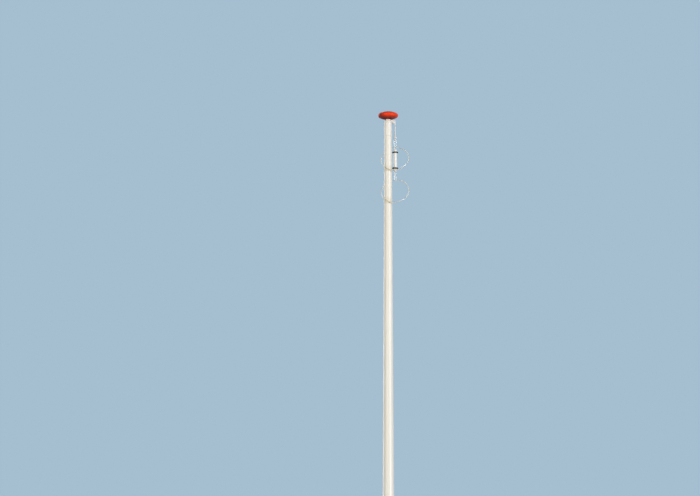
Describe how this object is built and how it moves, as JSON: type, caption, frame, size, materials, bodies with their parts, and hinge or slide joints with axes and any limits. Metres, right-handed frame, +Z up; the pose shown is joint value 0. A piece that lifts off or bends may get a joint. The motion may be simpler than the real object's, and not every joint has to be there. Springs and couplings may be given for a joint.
{
  "type": "flagpole",
  "caption": "Tapered glassfibre flagpole with a turning head, flattened ball finial, sheave for an inner halyard, counterweight on snap hooks and rings round the pole.",
  "frame": {"origin": "middle of the foot flange's underside, on the pole's axis", "axes": "+Z up along the pole, +X towards the side on which the head's arm and the halyard stand at rest"},
  "size_m": [0.3, 0.3, 10.0914],
  "materials": {
    "white_gelcoat": "weathered gelcoat gloss",
    "white_cap": "satin paint",
    "red_gloss": "gloss",
    "white_rope": "braided",
    "stainless": "polished",
    "galvanised_steel": "galvanised",
    "black_rubber": "matt",
    "white_weight": "gloss",
    "glass_rod": "gloss",
    "ferrule_metal": "satin",
    "grey_plastic": "matt"
  },
  "bodies": {
    "pole": {"base_plate": "galvanised_steel", "stub_tube": "galvanised_steel", "foot_collar": "white_cap", "pole_shaft": "white_gelcoat", "hatch_frame": "grey_plastic", "hatch_door": "white_gelcoat", "hatch_lock": "stainless", "top_sleeve": "white_cap", "bearing_bush": "grey_plastic"},
    "truck": {"truck_stem": "stainless", "truck_cap": "white_cap", "outlet_arm": "white_cap", "sheave_axle": "stainless", "finial_stud": "stainless", "finial": "red_gloss", "halyard_fall": "white_rope", "halyard_knot": "white_rope", "upper_hook_body": "stainless"},
    "sheave_wheel": {"sheave": "grey_plastic"},
    "upper_gate": {"upper_hook_gate": "stainless"},
    "weight": {"weight_top_eye": "stainless", "weight_top_cap": "white_weight", "weight_tube": "white_weight", "weight_bottom_cap": "white_weight", "weight_bottom_eye": "stainless", "upper_buffer": "black_rubber", "lower_buffer": "black_rubber"},
    "upper_flag_ring": {"upper_ring": "glass_rod", "upper_ferrule": "ferrule_metal"},
    "lower_hook": {"lower_hook_body": "stainless"},
    "lower_gate": {"lower_hook_gate": "stainless"},
    "lower_flag_ring": {"lower_ring": "glass_rod", "lower_ferrule": "ferrule_metal"}
  },
  "joints": [
    {"name": "truck_turn", "type": "hinge", "parent": "pole", "child": "truck", "pos_m": [0, 0, 10.0016], "axis": [0, 0, 1], "continuous": true},
    {"name": "sheave_turn", "type": "hinge", "parent": "truck", "child": "sheave_wheel", "pos_m": [0.06, 0, 10.0111], "axis": [0, 1, 0], "continuous": true},
    {"name": "upper_gate_swing", "type": "hinge", "parent": "truck", "child": "upper_gate", "pos_m": [0.0811, -0.00689, 9.8514], "axis": [0.749, 0.6626, 0], "range_deg": [0, 20], "stiffness_Nm_per_rad": 0.02, "springref_deg": -17.19},
    {"name": "weight_swing", "type": "hinge", "parent": "truck", "child": "weight", "pos_m": [0.075, 0, 9.8177], "axis": [0.6626, -0.749, 0], "range_deg": [0, 15]},
    {"name": "upper_ring_lift", "type": "hinge", "parent": "truck", "child": "upper_flag_ring", "pos_m": [0.075, 0, 9.8026], "axis": [-0.6626, 0.749, 0], "range_deg": [0, 24]},
    {"name": "lower_hook_swing", "type": "hinge", "parent": "weight", "child": "lower_hook", "pos_m": [0.075, 0, 9.5788], "axis": [0.6626, -0.749, 0], "range_deg": [-15, 0]},
    {"name": "lower_gate_swing", "type": "hinge", "parent": "lower_hook", "child": "lower_gate", "pos_m": [0.0842, 0, 9.5651], "axis": [0, 1, 0], "range_deg": [0, 20], "stiffness_Nm_per_rad": 0.02, "springref_deg": -17.19},
    {"name": "lower_ring_lift", "type": "hinge", "parent": "lower_hook", "child": "lower_flag_ring", "pos_m": [0.075, 0, 9.537], "axis": [-0.6626, 0.749, 0], "range_deg": [0, 26.5]}
  ],
  "couplings": [
    {"joint": "lower_hook_swing", "follows": "weight_swing", "ratio": -1},
    {"joint": "lower_ring_lift", "follows": "weight_swing", "ratio": 1.75}
  ]
}
